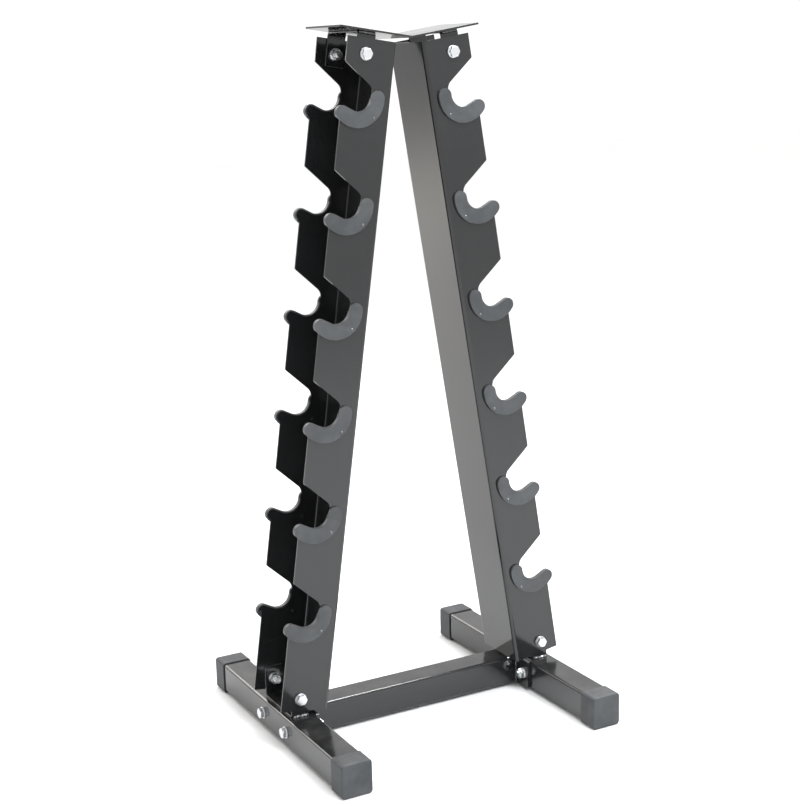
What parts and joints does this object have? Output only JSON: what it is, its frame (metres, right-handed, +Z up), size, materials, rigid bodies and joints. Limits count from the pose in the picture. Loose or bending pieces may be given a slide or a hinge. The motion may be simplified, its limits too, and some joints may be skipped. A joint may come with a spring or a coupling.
{
  "type": "dumbbell rack",
  "caption": "Free-standing A-frame dumbbell rack: leaning folded-steel columns with lined, hooked cradles on their outer edges, bolted to a square-tube base.",
  "frame": {"origin": "on the floor, under the middle of the rack", "axes": "+Z up, X along the crossbar from the left foot to the right foot, Y along the feet from front to rear"},
  "size_m": [0.544, 0.515, 1.164],
  "materials": {
    "black_powder_coat": "satin black powder coat",
    "liner_plastic": "matte dark grey moulding",
    "cap_plastic": "satin dark grey moulding",
    "zinc": "bright zinc plate"
  },
  "bodies": {
    "root": {"left_column": "black_powder_coat", "left_foot": "black_powder_coat", "left_end_plate": "black_powder_coat", "left_foot_bracket": "black_powder_coat", "left_top_bracket": "black_powder_coat", "left_front_cap": "cap_plastic", "left_front_liner_1": "liner_plastic", "left_front_liner_2": "liner_plastic", "left_front_liner_3": "liner_plastic", "left_front_liner_4": "liner_plastic", "left_front_liner_5": "liner_plastic", "left_front_liner_6": "liner_plastic", "left_rear_cap": "cap_plastic", "left_rear_liner_1": "liner_plastic", "left_rear_liner_2": "liner_plastic", "left_rear_liner_3": "liner_plastic", "left_rear_liner_4": "liner_plastic", "left_rear_liner_5": "liner_plastic", "left_rear_liner_6": "liner_plastic", "right_column": "black_powder_coat", "right_foot": "black_powder_coat", "right_end_plate": "black_powder_coat", "right_foot_bracket": "black_powder_coat", "right_top_bracket": "black_powder_coat", "right_front_cap": "cap_plastic", "right_front_liner_1": "liner_plastic", "right_front_liner_2": "liner_plastic", "right_front_liner_3": "liner_plastic", "right_front_liner_4": "liner_plastic", "right_front_liner_5": "liner_plastic", "right_front_liner_6": "liner_plastic", "right_rear_cap": "cap_plastic", "right_rear_liner_1": "liner_plastic", "right_rear_liner_2": "liner_plastic", "right_rear_liner_3": "liner_plastic", "right_rear_liner_4": "liner_plastic", "right_rear_liner_5": "liner_plastic", "right_rear_liner_6": "liner_plastic", "crossbar": "black_powder_coat", "top_plate": "black_powder_coat", "top_bolts": "zinc", "foot_bolts": "zinc", "crossbar_bolts": "zinc", "top_washers": "zinc", "foot_washers": "zinc", "crossbar_washers": "zinc", "top_nuts": "zinc", "foot_nuts": "zinc", "crossbar_nuts": "zinc", "liner_rivets": "zinc"}
  },
  "joints": []
}
